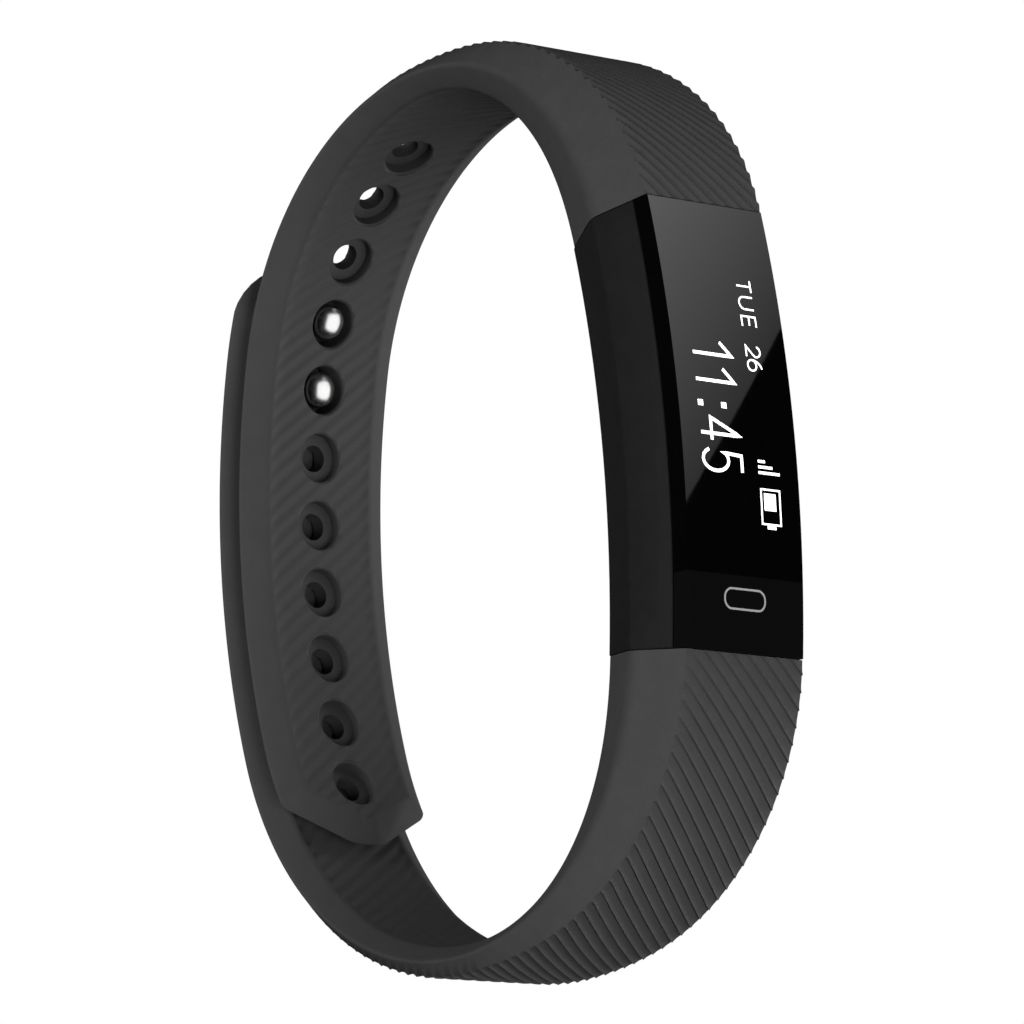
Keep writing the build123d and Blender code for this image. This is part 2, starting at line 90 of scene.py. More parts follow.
ANCHOR_U = -1.0


# ---------------------------------------------------------------- centre lines
def make_path(x, y, heading, sign, arcs):
    """Arcs in a chain. Each is
    (centre x, centre y, radius, heading at its start, sign, start, length)."""
    path, start = [], 0.0
    for radius, turn in arcs:
        cx = x - sign * radius * sin(radians(heading))
        cy = y + sign * radius * cos(radians(heading))
        length = radius * radians(turn)
        path.append((cx, cy, radius, heading, sign, start, length))
        heading += sign * turn
        x = cx + sign * radius * sin(radians(heading))
        y = cy - sign * radius * cos(radians(heading))
        start += length
    return path


def station(path, s):
    """Point, unit tangent and unit outward normal of a path, s along it."""
    for arc in path:
        cx, cy, radius, heading, sign, start, length = arc
        if s <= start + length or arc is path[-1]:
            h = radians(heading) + sign * (s - start) / radius
            out = (sign * sin(h), -sign * cos(h))
            return (cx + radius * out[0], cy + radius * out[1]), (cos(h), sin(h)), out


def path_length(path):
    return path[-1][5] + path[-1][6]


def thickness_at(s, taper):
    u = min(max(s, 0.0) / taper, 1.0)
    return TAIL_THICKNESS + (MODULE_THICKNESS - TAIL_THICKNESS) * (1 - u) ** 2 * (1 + 2 * u)


def loop_paths(x0, y0):
    """Module, hole strap and clasp strap, with the module's middle at (x0, y0)."""
    half = MODULE_HALF_ANGLE
    offset = TAIL_THICKNESS + STRAP_GAP
    end_x = MODULE_RADIUS * sin(radians(half))
    end_y = y0 + MODULE_RADIUS - MODULE_RADIUS * cos(radians(half))
    module = make_path(x0 - end_x, end_y, -half, 1, ((MODULE_RADIUS, 2 * half),))
    hole = make_path(x0 + end_x, end_y, half, 1, HOLE_STRAP_ARCS + ((BACK_RADIUS, 1.0),))
    clasp = make_path(x0 - end_x, end_y, 180 - half, -1, CLASP_STRAP_ARCS)

    # One more arc takes the clasp strap, tangent, to the circle that lies around the hole strap.
    bend_arc, back = hole[-2:]
    outer = BACK_RADIUS + offset
    (x, y), tangent, out = station(clasp, path_length(clasp))
    dx, dy = x - back[0], y - back[1]
    joining = (outer ** 2 - dx ** 2 - dy ** 2) / (2 * (outer - out[0] * dx - out[1] * dy))
    meet = degrees(atan2(y - joining * out[1] - back[1], x - joining * out[0] - back[0]))
    across_back = meet - (back[3] - 90)
    heading = degrees(atan2(tangent[1], tangent[0]))
    peg = LAST_HOLE - (HOLE_COUNT - PEG_HOLES[0]) * HOLE_PITCH
    over_bend = degrees((back[5] - (peg - PEG_OVERLAP)) / bend_arc[2])
    clasp_arcs = CLASP_STRAP_ARCS + (
        (joining, heading - (meet - 90)), (outer, across_back), (bend_arc[2] + offset, over_bend))
    clasp = make_path(x0 - end_x, end_y, 180 - half, -1, clasp_arcs)

    # The hole strap's tip follows the clasp strap's joining arc from the inside.
    rest = LAST_HOLE + TIP_BEYOND - back[5] - BACK_RADIUS * radians(across_back)
    tip_radius = joining - offset
    hole_arcs = HOLE_STRAP_ARCS + ((BACK_RADIUS, across_back), (tip_radius, degrees(rest / tip_radius)))
    hole = make_path(x0 + end_x, end_y, half, 1, hole_arcs)
    return module, hole, clasp


# The lens in the frame says where the module is: its ends are symmetric about the middle,
# and its highest corners lie on the arc of its underside.
MID_T = MODULE_THICKNESS / 2
LENS_LOW = MID_T - LENS_THICKNESS
lens_low, lens_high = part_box("display_lens")
band_low, band_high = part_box("upper_housing")
MIDDLE_X = (lens_low.x + lens_high.x) / 2 / MM
MIDDLE_Y = (lens_high.y / MM + (MODULE_RADIUS + LENS_LOW) * cos(radians(MODULE_HALF_ANGLE))
            - MODULE_RADIUS)
Z_MID = (band_low.z + band_high.z) / 2 / MM
MODULE, HOLE_STRAP, CLASP_STRAP = loop_paths(MIDDLE_X, MIDDLE_Y)
MODULE_LENGTH = path_length(MODULE)


def place(path, s, across, outward):
    """A point of the band in metres: s along a path, across towards -Z, outward from the centre line."""
    (x, y), _, out = station(path, s)
    return Vector((x + outward * out[0], y + outward * out[1], Z_MID - across)) * MM


def hole_station(number):
    return LAST_HOLE - (HOLE_COUNT - number) * HOLE_PITCH


# ---------------------------------------------------------------- materials
BROADER = 12                 # how much coarser the second noise is than the fine one
BROAD_SHARE = 0.4            # of the second noise in the colour


def material(name, colour, roughness, metallic=0.0, grain=5000.0, spread=0.18, rough_spread=0.08,
             bump=0.00001, specular=0.5, stretch=(1, 1, 1), glow=0.0):
    """Procedural finish: two sizes of noise vary the colour and the roughness, and raise a fine grain."""
    made = bpy.data.materials.new(name)
    made.use_nodes = True
    nodes, links = made.node_tree.nodes, made.node_tree.links
    shader = nodes["Principled BSDF"]
    shader.inputs["Metallic"].default_value = metallic
    shader.inputs["Specular IOR Level"].default_value = specular
    place_at = nodes.new("ShaderNodeTexCoord")
    scale = nodes.new("ShaderNodeMapping")
    scale.inputs["Scale"].default_value = stretch
    links.new(place_at.outputs["Object"], scale.inputs["Vector"])

    def noise(size, detail):
        node = nodes.new("ShaderNodeTexNoise")
        node.inputs["Scale"].default_value = size
        node.inputs["Detail"].default_value = detail
        links.new(scale.outputs["Vector"], node.inputs["Vector"])
        return node.outputs["Fac"]

    fine, broad = noise(grain, 3.0), noise(grain / BROADER, 2.0)
    ramp = nodes.new("ShaderNodeValToRGB")
    for stop, factor, at in zip(ramp.color_ramp.elements, (1 - spread, 1 + spread), (0.3, 0.7)):
        stop.position = at
        stop.color = (*(min(1.0, c * factor) for c in colour), 1.0)
    mixed = nodes.new("ShaderNodeMix")
    mixed.inputs["Factor"].default_value = BROAD_SHARE
    links.new(fine, mixed.inputs["A"])
    links.new(broad, mixed.inputs["B"])
    links.new(mixed.outputs["Result"], ramp.inputs["Fac"])
    links.new(ramp.outputs["Color"], shader.inputs["Base Color"])
    rough = nodes.new("ShaderNodeMapRange")
    rough.inputs["To Min"].default_value = max(0.0, roughness - rough_spread)
    rough.inputs["To Max"].default_value = min(1.0, roughness + rough_spread)
    links.new(broad, rough.inputs["Value"])
    links.new(rough.outputs["Result"], shader.inputs["Roughness"])
    if bump:
        raised = nodes.new("ShaderNodeBump")
        raised.inputs["Distance"].default_value = bump
        raised.inputs["Strength"].default_value = 1.0
        links.new(fine, raised.inputs["Height"])
        links.new(raised.outputs["Normal"], shader.inputs["Normal"])
    if glow:
        links.new(ramp.outputs["Color"], shader.inputs["Emission Color"])
        shader.inputs["Emission Strength"].default_value = glow
    return made


FINISHES = {
    "strap_rubber": material("strap_rubber", (0.036, 0.036, 0.037), 0.6, grain=7000, spread=0.1,
                             bump=0.000012, specular=0.35),
    "housing_plastic": material("housing_plastic", (0.0085, 0.0085, 0.009), 0.5, grain=9000,
                                bump=0.000006, specular=0.25),
    "lens_glass": material("lens_glass", (0.0008, 0.0008, 0.0009), 0.012, spread=0.3,
                           rough_spread=0.006, bump=0),
    "glue": material("glue", (0.02, 0.02, 0.02), 0.5, bump=0.00002),
    "seal": material("seal", (0.05, 0.05, 0.055), 0.6, bump=0.00002),
    "display_panel": material("display_panel", (0.01, 0.01, 0.012), 0.15, rough_spread=0.04, bump=0),
    "copper_film": material("copper_film", (0.72, 0.45, 0.2), 0.35, metallic=1.0, bump=0.000008),
    "circuit_board": material("circuit_board", (0.01, 0.12, 0.05), 0.4, grain=3000, spread=0.3,
                              bump=0.00002),
    "chip_black": material("chip_black", (0.02, 0.02, 0.02), 0.6, bump=0.00001),
    "ceramic": material("ceramic", (0.75, 0.74, 0.7), 0.55, spread=0.06, bump=0.00001),
    "metal_can": material("metal_can", (0.6, 0.6, 0.6), 0.32, metallic=1.0, stretch=(1, 8, 8),
                          bump=0.000006),
    "battery_wrap": material("battery_wrap", (0.35, 0.36, 0.38), 0.35, metallic=0.6, grain=1500,
                             bump=0.00002),
    "lead_wire": material("lead_wire", (0.5, 0.03, 0.03), 0.35, bump=0.00001),
    "flex_film": material("flex_film", (0.45, 0.22, 0.05), 0.3, spread=0.2, bump=0.000005),
    "tungsten": material("tungsten", (0.3, 0.3, 0.31), 0.45, metallic=1.0, bump=0.00001),
    "gold_contact": material("gold_contact", (0.8, 0.6, 0.25), 0.22, metallic=1.0, spread=0.08,
                             bump=0.000003),
    "steel_plate": material("steel_plate", (0.6, 0.6, 0.6), 0.32, metallic=1.0, stretch=(8, 8, 1),
                            bump=0.000004),
    "peg_steel": material("peg_steel", (0.72, 0.72, 0.71), 0.26, metallic=1.0, spread=0.05,
                          rough_spread=0.03, bump=0.000001),
}
KEY_ZONE = 11.9              # start of the zone round the touch key, from the module's middle towards -X
KEY_ZONE_COLOUR = (0.0024, 0.0024, 0.0026)


def tint_key_zone(glass):
    """The glass is a shade lighter round the touch key, beyond the display's window."""
    nodes, links = glass.node_tree.nodes, glass.node_tree.links
    shader = nodes["Principled BSDF"]
    colour = shader.inputs["Base Color"].links[0].from_socket
    at = nodes.new("ShaderNodeTexCoord")
    parts = nodes.new("ShaderNodeSeparateXYZ")
    beyond = nodes.new("ShaderNodeMath")
    beyond.operation = "LESS_THAN"
    beyond.inputs[1].default_value = (MIDDLE_X - KEY_ZONE) * MM
    mix = nodes.new("ShaderNodeMix")
    mix.data_type = "RGBA"
    links.new(at.outputs["Object"], parts.inputs["Vector"])
    links.new(parts.outputs["X"], beyond.inputs[0])
    links.new(beyond.outputs["Value"], mix.inputs["Factor"])
    links.new(colour, mix.inputs["A"])
    mix.inputs["B"].default_value = (*KEY_ZONE_COLOUR, 1.0)
    links.new(mix.outputs["Result"], shader.inputs["Base Color"])


tint_key_zone(FINISHES["lens_glass"])
LIT = material("lit_pixels", (0.9, 0.9, 0.9), 0.4, spread=0.02, bump=0, glow=1.15)
# Grey print of the touch key's outline; its emission is painted light, since the print is no lamp.
KEY_GREY_PAINTED_GLOW = material("key_outline", (0.16, 0.16, 0.16), 0.4, spread=0.08, bump=0, glow=0.6)

SLOT_NODES = {
    "housing_plastic": ("upper_housing", "back_cover"),
    "lens_glass": ("display_lens",),
    "glue": ("lens_adhesive",),
    "seal": ("case_gasket",),
    "display_panel": ("oled_panel",),
    "copper_film": ("touch_electrode",),
    "circuit_board": ("main_board", "usb_tongue"),
    "chip_black": ("processor_chip", "memory_chip", "motion_sensor_chip"),
    "ceramic": ("chip_antenna",),
    "metal_can": ("clock_crystal", "motor_cup", "motor_base", "motor_shaft"),
    "battery_wrap": ("battery",),
    "lead_wire": ("battery_leads",),
    "flex_film": ("display_flex",),
    "tungsten": ("motor_weight",),
    "gold_contact": ("usb_contacts",),
    "steel_plate": ("clasp_plate",),
    "peg_steel": ("clasp_peg_end", "clasp_peg_inner"),
    "strap_rubber": ("anchor_tongue", "hole_strap_shoulder", "hole_strap_tail",
                     "clasp_strap_shoulder", "clasp_strap_tail"),
}
# Width of the rounded edges of the larger nodes, in millimetres, and of all the others.
EDGE_WIDTHS = {"upper_housing": 0.1, "back_cover": 0.15, "battery": 0.3, "usb_tongue": 0.15,
               "anchor_tongue": 0.3, "motor_cup": 0.15}
SMALL_EDGE = 0.05
SHAPED_LATER = ("hole_strap", "clasp_strap", "clasp_peg", "display_lens")
WELD_DISTANCE = 0.000002     # metres
SOFT_ANGLE = 32              # degrees, above which an edge is rounded


def soften(piece, width):
    """Narrow rounded edges, on one mesh with its corners joined."""
    weld = piece.modifiers.new("weld", "WELD")
    weld.merge_threshold = WELD_DISTANCE
    bevel = piece.modifiers.new("edges", "BEVEL")
    bevel.width = width * MM
    bevel.segments = 3
    bevel.limit_method = "ANGLE"
    bevel.angle_limit = radians(SOFT_ANGLE)
    bevel.harden_normals = True
    bevel.use_clamp_overlap = True


for slot_name, members in SLOT_NODES.items():
    for member in members:
        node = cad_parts[member]
        node.data.materials.clear()
        node.data.materials.append(FINISHES[slot_name])
        if not member.startswith(SHAPED_LATER):
            soften(node, EDGE_WIDTHS.get(member, SMALL_EDGE))


# ---------------------------------------------------------------- mesh helpers
def new_piece(name, points, faces, finish, scale=1.0):
    """A mesh object, from points in metres, or in another unit that scale turns into metres."""
    mesh = bpy.data.meshes.new(name)
    mesh.from_pydata([Vector(p) * scale for p in points], [], faces)
    mesh.materials.append(finish)
    piece = bpy.data.objects.new(name, mesh)
    bpy.context.scene.collection.objects.link(piece)
    return piece


def recalculate(mesh):
    """All faces outwards, and no doubled points."""
    bm = bmesh.new()
    bm.from_mesh(mesh)
    bmesh.ops.remove_doubles(bm, verts=bm.verts[:], dist=1e-7)
    bmesh.ops.dissolve_degenerate(bm, dist=1e-7, edges=bm.edges[:])
    bmesh.ops.recalc_face_normals(bm, faces=bm.faces[:])
    bm.to_mesh(mesh)
    bm.free()


def smooth(piece, sharp_over):
    """Smooth shading, but for edges that turn by more than this many degrees."""
    piece.data.shade_smooth()
    piece.data.set_sharp_from_angle(angle=radians(sharp_over))


def rounded(before, corner, after, first, second, steps):
    """A corner of an outline as a curve, which starts and ends at these fractions of the lines
    beside it."""
    p = [corner[k] + first * (before[k] - corner[k]) for k in (0, 1)]
    q = [corner[k] + second * (after[k] - corner[k]) for k in (0, 1)]
    curve = []
    for i in range(steps + 1):
        t = i / steps
        curve.append(tuple((1 - t) ** 2 * p[k] + 2 * t * (1 - t) * corner[k] + t * t * q[k]
                           for k in (0, 1)))
    return curve


# ---------------------------------------------------------------- straps
FACE_COLUMNS = 12
RIB_ZONE = 4.8               # half width of the faint ribs on the inner face
ZONE_RIM = 0.15
INNER_STEPS = 12
RECESS = 0.05                # how deep the zone of faint ribs is sunk
INNER_RIB = 0.045            # depth of the faint ribs either way
INNER_PITCH = 1.5
INNER_START = 9.0            # where the faint ribs start along the strap
INNER_FADE = 0.25            # length over which they end
END_SPARE = 1.0              # how far the untrimmed strap reaches past its ends, at least
BLOCK_HALF = 12.0            # half size across of the solid that trims a strap
RIDGE_CUT = 0.1              # flat left on the ridge round a strap's end
STRAP_SHARP = 38             # degrees

# Rounding of the ridge and of the inner edge: the shares of the lines beside the corner, and steps.
RIDGE_ROUND = (0.16, 0.16, 4)
INNER_ROUND = (0.12, 0.05, 3)

# Outer ribs: each row of points lies at one phase of the rib, with its depth there as a fraction.
LOUVRE = ((0.0, 1.0), (0.22, 1.0), (0.45, 1.0), (0.6, 0.84), (0.74, 0.5), (0.86, 0.0), (0.93, 1.0))
WAVE = ((0.0, 1.0), (0.14, 0.96), (0.28, 0.82), (0.41, 0.58), (0.52, 0.32), (0.62, 0.11),
        (0.7, 0.0), (0.78, 0.06), (0.85, 0.35), (0.91, 0.7), (0.96, 0.93))

# Each strap's ribs: pitch, slope along per mm across, profile, depth, and where the inner ribs end:
# (along the middle, how much sooner at the zone's edges). The clasp strap's run to its end.
HOLE_RIBS = (1.13, -0.84, WAVE, 0.24, (101.2, 2.9))
CLASP_RIBS = (1.11, 0.78, LOUVRE, 0.2, (200.0, 0.0))


def strap_outline(t):
    """Half of the strap's cross-section at thickness t, from the middle of the outer face round to the
    middle of the inner face: (kind, across, outward)."""
    h = t / 2
    outer, ridge, inner = (FACE_HALF, h), (HALF_WIDTH, 0), (INNER_HALF, -h)
    points = [("outer", FACE_HALF * 2 * i / FACE_COLUMNS, h) for i in range(FACE_COLUMNS // 2 + 1)]
    points += [("side", *p) for p in rounded(outer, ridge, inner, *RIDGE_ROUND)]
    points += [("side", *p) for p in rounded(ridge, inner, (0, -h), *INNER_ROUND)]
    points += [("inner", RIB_ZONE + ZONE_RIM, -h)]
    points += [("inner", RIB_ZONE * (1 - 2 * i / INNER_STEPS), -h) for i in range(INNER_STEPS // 2 + 1)]
    return points


def outline_columns():
    """The whole outline's points as (kind, across, across per mm of thickness, outward per mm of it)."""
    flat, thick = strap_outline(0.0), strap_outline(1.0)
    half = [(k, a, b - a, h) for (k, a, _), (_, b, h) in zip(flat, thick)]
    back = [(k, -a, -da, h) for k, a, da, h in half[1:-1]]
    return half + back[::-1]


def strap_lattice(path, taper, pitch, slope, profile, depth, arrow):
    """The strap laid out flat, as a closed mesh with points (along, across, outward) in millimetres.
    Its rows run along the slanted ribs and reach past both ends, to be trimmed."""
    columns = outline_columns()
    reach = abs(slope) * HALF_WIDTH + END_SPARE
    first, last = -int(reach / pitch) - 1, int((path_length(path) + reach) / pitch) + 1
    points, faces = [], []
    for turn in range(first, last):
        for phase, fraction in profile:
            base = (turn + phase) * pitch
            for kind, across, widen, height in columns:
                s = base + slope * across
                t = thickness_at(s, taper)
                a, h = across + widen * t, height * t
                if kind == "outer":
                    d = depth * fraction
                    h -= d
                    if abs(across) > FACE_HALF - 0.01:
                        a += (1 if a > 0 else -1) * (HALF_WIDTH - FACE_HALF) * d / (t / 2)
                elif kind == "inner":
                    inside = min(1.0, max(0.0, (RIB_ZONE + ZONE_RIM - abs(a)) / ZONE_RIM))
                    tip = arrow[0] - arrow[1] * abs(a) / RIB_ZONE
                    inside *= min(1.0, max(0.0, (tip - s) / INNER_FADE))
                    inside *= min(1.0, max(0.0, s - INNER_START))
                    h += inside * (RECESS + INNER_RIB * sin(2 * pi * base / INNER_PITCH))
                points.append((s, a, h))
    count = len(columns)
    rows = len(points) // count
    for i in range(rows - 1):
        for j in range(count):
            k = (j + 1) % count
            faces.append((i * count + j, i * count + k, (i + 1) * count + k, (i + 1) * count + j))
    faces.append(tuple(range(count))[::-1])
    faces.append(tuple((rows - 1) * count + j for j in range(count)))
    return points, faces


def corner_directions(first, second, radius, steps):
    """Directions and distances of the lines that round the corner between two lines of a plan view.
    Each line is (along, across, distance), with a unit direction that points out of the strap."""
    (ax, ay, ac), (bx, by, bc) = first, second
    det = ax * by - ay * bx
    cx = ((ac - radius) * by - (bc - radius) * ay) / det
    cy = (ax * (bc - radius) - bx * (ac - radius)) / det
    lines = []
    for i in range(1, steps + 1):
        turn = i / (steps + 1)
        angle = atan2(ay, ax) + turn * (atan2(by, bx) - atan2(ay, ax))
        direction = (cos(angle), sin(angle))
        lines.append((*direction, direction[0] * cx + direction[1] * cy + radius))
    return lines


def kept_block(length, lines):
    """A convex solid round the flat strap, in millimetres. It leaves out what lies past either end and
    past each line of the end's plan view, with the same slanted sides as the strap has."""
    up = (HALF_WIDTH - FACE_HALF) / HALF_TAIL
    down = (HALF_WIDTH - INNER_HALF) / HALF_TAIL
    planes = [(Vector((-1, 0, 0)), -JOINT), (Vector((1, 0, 0)), length)]
    for axis in (1, 2):
        for side in (-1, 1):
            normal = Vector((0, 0, 0))
            normal[axis] = side
            planes.append((normal, BLOCK_HALF))
    for along, across, distance in lines:
        planes.append((Vector((along, across, 0)), distance - RIDGE_CUT))
        planes += [(Vector((along, across, slant)), distance) for slant in (up, -down)]
    corners = []
    for (n1, d1), (n2, d2), (n3, d3) in combinations(planes, 3):
        volume = n1.dot(n2.cross(n3))
        if abs(volume) < 1e-9:
            continue
        corner = (d1 * n2.cross(n3) + d2 * n3.cross(n1) + d3 * n1.cross(n2)) / volume
        inside = all(n.dot(corner) < d + 1e-4 for n, d in planes)
        if inside and all((corner - c).length > 2e-3 for c in corners):
            corners.append(corner)
    bm = bmesh.new()
    for corner in corners:
        bm.verts.new(corner)
    hull = bmesh.ops.convex_hull(bm, input=bm.verts[:])
    spare = set(hull["geom_interior"] + hull["geom_unused"])
    bmesh.ops.delete(bm, geom=[v for v in bm.verts if v in spare], context="VERTS")
    bmesh.ops.recalc_face_normals(bm, faces=bm.faces[:])
    block = new_piece("block", [], [], FINISHES["strap_rubber"])
    bm.to_mesh(block.data)
    bm.free()
    return block


def bend_strap(bm, path):
    """Lays the flat strap along its path, still in millimetres."""
    for v in bm.verts:
        s, across, outward = v.co
        (x, y), _, out = station(path, s)
        v.co = (x + outward * out[0], y + outward * out[1], Z_MID - across)


def lathe(path, s, profile, segments=48):
    """A turned solid that stands on the path at s, from (radius, outward) points in millimetres."""
    (x, y), (tx, ty), (ox, oy) = station(path, s)
    points = []
    for radius, outward in profile:
        for i in range(segments):
            c, z = radius * cos(2 * pi * i / segments), radius * sin(2 * pi * i / segments)
            points.append((x + outward * ox + c * tx, y + outward * oy + c * ty, Z_MID + z))
    faces = [tuple(range(segments))[::-1]]
    for k in range(len(profile) - 1):
        for i in range(segments):
            j = (i + 1) % segments
            faces.append((k * segments + i, k * segments + j,
                          (k + 1) * segments + j, (k + 1) * segments + i))
    faces.append(tuple((len(profile) - 1) * segments + i for i in range(segments)))
    return points, faces


def pocket(path, size, outward):
    """A box that goes straight into a strap from its module end: (across, outward, deep)."""
    across, thick, deep = size
    (x, y), (tx, ty), (ox, oy) = station(path, 0)
    points = []
    for along in (-1.0, deep):
        for u, w in ((-1, -1), (1, -1), (1, 1), (-1, 1)):
            h = outward + u * thick / 2
            points.append((x + along * tx + h * ox, y + along * ty + h * oy, Z_MID + w * across / 2))
    faces = [(3, 2, 1, 0), (4, 5, 6, 7)]
    faces += [(i, (i + 1) % 4, (i + 1) % 4 + 4, i + 4) for i in range(4)]
    return points, faces


def joined(parts):
    """One list of points and one of faces, from several."""
    points, faces = [], []
    for part_points, part_faces in parts:
        start = len(points)
        points += part_points
        faces += [tuple(i + start for i in face) for face in part_faces]
    return points, faces


def combine(piece, other, operation):
    """Keeps or cuts away what the piece's mesh shares with the other, which is used up."""
    cut = piece.modifiers.new("cut", "BOOLEAN")
    cut.operation = operation
    cut.solver = "MANIFOLD"
    cut.object = other
    bpy.context.view_layer.update()
    made = bpy.data.meshes.new_from_object(piece.evaluated_get(bpy.context.evaluated_depsgraph_get()))
    piece.modifiers.clear()
    piece.data = made
    bpy.data.objects.remove(other)


def make_strap(name, path, taper, ribs, end_lines, cutters):
    """One strap: laid out flat, trimmed to its ends, bent to its path, then its holes and pocket cut."""
    piece = new_piece(name, *strap_lattice(path, taper, *ribs), FINISHES["strap_rubber"])
    recalculate(piece.data)
    combine(piece, kept_block(path_length(path), end_lines), "INTERSECT")
    bm = bmesh.new()
    bm.from_mesh(piece.data)
    bmesh.ops.triangulate(bm, faces=[f for f in bm.faces if len(f.verts) > 4])
    bend_strap(bm, path)
    bmesh.ops.recalc_face_normals(bm, faces=bm.faces[:])
    bm.to_mesh(piece.data)
    bm.free()
    cutter = new_piece("cutter", *joined(cutters), FINISHES["strap_rubber"])
    recalculate(cutter.data)
    combine(piece, cutter, "DIFFERENCE")
    piece.data.transform(Matrix.Scale(MM, 4))
    recalculate(piece.data)
    smooth(piece, STRAP_SHARP)
    return piece


def both_sides(lines):
    """The lines of an end's plan view and the same ones mirrored across it."""
    return lines + [(along, -across, distance) for along, across, distance in lines
                    if abs(across) > 1e-6]


SIDE_LINE = (0.0, 1.0, HALF_WIDTH)
SIDE_ROUND, POINT_ROUND, TAIL_ROUND = 1.6, 2.4, 5.0     # radii of the ends' corners


def tip_lines():
    """The hole strap's blunt point: slanted lines to a flat end, with its corners rounded."""
    length = path_length(HOLE_STRAP)
    run = hypot(TIP_DEPTH, HALF_WIDTH - TIP_FLAT)
    slant = ((HALF_WIDTH - TIP_FLAT) / run, TIP_DEPTH / run)
    slanted = (*slant, slant[0] * length + slant[1] * TIP_FLAT)
    flat = (1.0, 0.0, length)
    return both_sides([slanted, *corner_directions(SIDE_LINE, slanted, SIDE_ROUND, steps=3),
                       *corner_directions(slanted, flat, POINT_ROUND, steps=2), flat])


def tail_lines():
    """The clasp strap's end: flat, with large round corners."""
    flat = (1.0, 0.0, path_length(CLASP_STRAP))
    return both_sides([flat, *corner_directions(SIDE_LINE, flat, TAIL_ROUND, steps=7)])


LIP = 0.15                   # chamfer round a hole
OUT = 2.5                    # how far cutters reach past a face


def hole_cutter(number):
    """One counterbored hole. The pegs hold theirs stretched to the counterbore's width all through."""
    at = hole_station(number)
    thick = thickness_at(at, HOLE_TAPER) / 2
    shoulder = COUNTERBORE_DEPTH - HALF_TAIL
    shape = [(COUNTERBORE_RADIUS + LIP, -thick - OUT), (COUNTERBORE_RADIUS + LIP, -thick),
             (COUNTERBORE_RADIUS, -thick + LIP)]
    if number in PEG_HOLES:
        shape += [(COUNTERBORE_RADIUS, thick + OUT)]
    else:
        shape += [(COUNTERBORE_RADIUS, shoulder), (HOLE_RADIUS, shoulder), (HOLE_RADIUS, thick - LIP),
                  (HOLE_RADIUS + LIP, thick), (HOLE_RADIUS + LIP, thick + OUT)]
    return lathe(HOLE_STRAP, at, shape)


hole_cutters = [pocket(HOLE_STRAP, TONGUE, TONGUE_U)]
hole_cutters += [hole_cutter(number) for number in range(1, HOLE_COUNT + 1)]

# The clasp's steel plate and pegs, as the clasp strap's tail holds them.
PLATE = (0.5, 3.6)           # thickness, half width
PLATE_END = 2.0              # past each peg
PLATE_ROWS = 12
PEG_NECK = 0.9
PEG_HEAD = 1.5
HEAD_HEIGHT = 0.95
HEAD_SUNK = 0.1              # the head's top below the hole strap's inner face
HEAD_BASE = -HALF_TAIL + HEAD_SUNK + HEAD_HEIGHT
PEG_FOOT = TAIL_THICKNESS + STRAP_GAP - PLATE[0] / 2


def clasp_at(s):
    """The length along the clasp strap that lies over s on the hole strap, up to its tip arc."""
    bend_arc, back = HOLE_STRAP[2:4]
    over = bend_arc if s < back[5] else back
    return CLASP_STRAP[-1][5] - (s - back[5]) * (over[2] + TAIL_THICKNESS + STRAP_GAP) / over[2]


def swept(path, outline, first, last, rows):
    """A closed solid with this (across, outward) outline along a path, in millimetres."""
    count = len(outline)
    points = [place(path, first + (last - first) * i / rows, *p) / MM
              for i in range(rows + 1) for p in outline]
    faces = [(i * count + j, i * count + (j + 1) % count, (i + 1) * count + (j + 1) % count,
              (i + 1) * count + j) for i in range(rows) for j in range(count)]
    faces += [tuple(range(count))[::-1], tuple(rows * count + j for j in range(count))]
    return points, faces


plate_outline = [(side * PLATE[1], up * PLATE[0] / 2)
                 for side, up in ((-1, -1), (1, -1), (1, 1), (-1, 1))]
neck_cutter = ((PEG_NECK, HALF_TAIL + STRAP_GAP / 2), (PEG_NECK, PEG_FOOT))
clasp_cutters = [pocket(CLASP_STRAP, ANCHOR, ANCHOR_U),
                 swept(CLASP_STRAP, plate_outline, clasp_at(hole_station(PEG_HOLES[1])) - PLATE_END,
                       clasp_at(hole_station(PEG_HOLES[0])) + PLATE_END, PLATE_ROWS)]
clasp_cutters += [lathe(HOLE_STRAP, hole_station(number), neck_cutter) for number in PEG_HOLES]

# A peg: foot on the plate, neck, and a head whose rounded rim runs into a low dome.
PEG_PROFILE = ((PEG_NECK, PEG_FOOT + PLATE[0]), (PEG_NECK, HEAD_BASE), (1.42, HEAD_BASE),
               (PEG_HEAD, -0.27), (PEG_HEAD, -0.5), (1.48, -0.6), (1.43, -0.7), (1.34, -0.8),
               (1.2, -0.9), (1.0, -1.0), (0.8, -1.07), (0.6, -1.12), (0.4, -1.14), (0.2, -1.15),
               (0.01, -1.15))
PEG_SHARP = 45               # degrees
for peg_name, number in (("end", PEG_HOLES[0]), ("inner", PEG_HOLES[1])):
    peg = new_piece(f"steel_peg_{peg_name}", *lathe(HOLE_STRAP, hole_station(number), PEG_PROFILE),
                    FINISHES["peg_steel"], MM)
    recalculate(peg.data)
    smooth(peg, PEG_SHARP)
    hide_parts(f"clasp_peg_{peg_name}")
    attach(peg, "clasp_tail")

hole_strap = make_strap("hole_strap", HOLE_STRAP, HOLE_TAPER, HOLE_RIBS, tip_lines(), hole_cutters)
clasp_strap = make_strap("clasp_strap", CLASP_STRAP, CLASP_TAPER, CLASP_RIBS, tail_lines(),
                         clasp_cutters)
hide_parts("hole_strap_shoulder", "hole_strap_tail")
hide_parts("clasp_strap_shoulder", "clasp_strap_tail")
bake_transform(hole_strap)
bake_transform(clasp_strap)

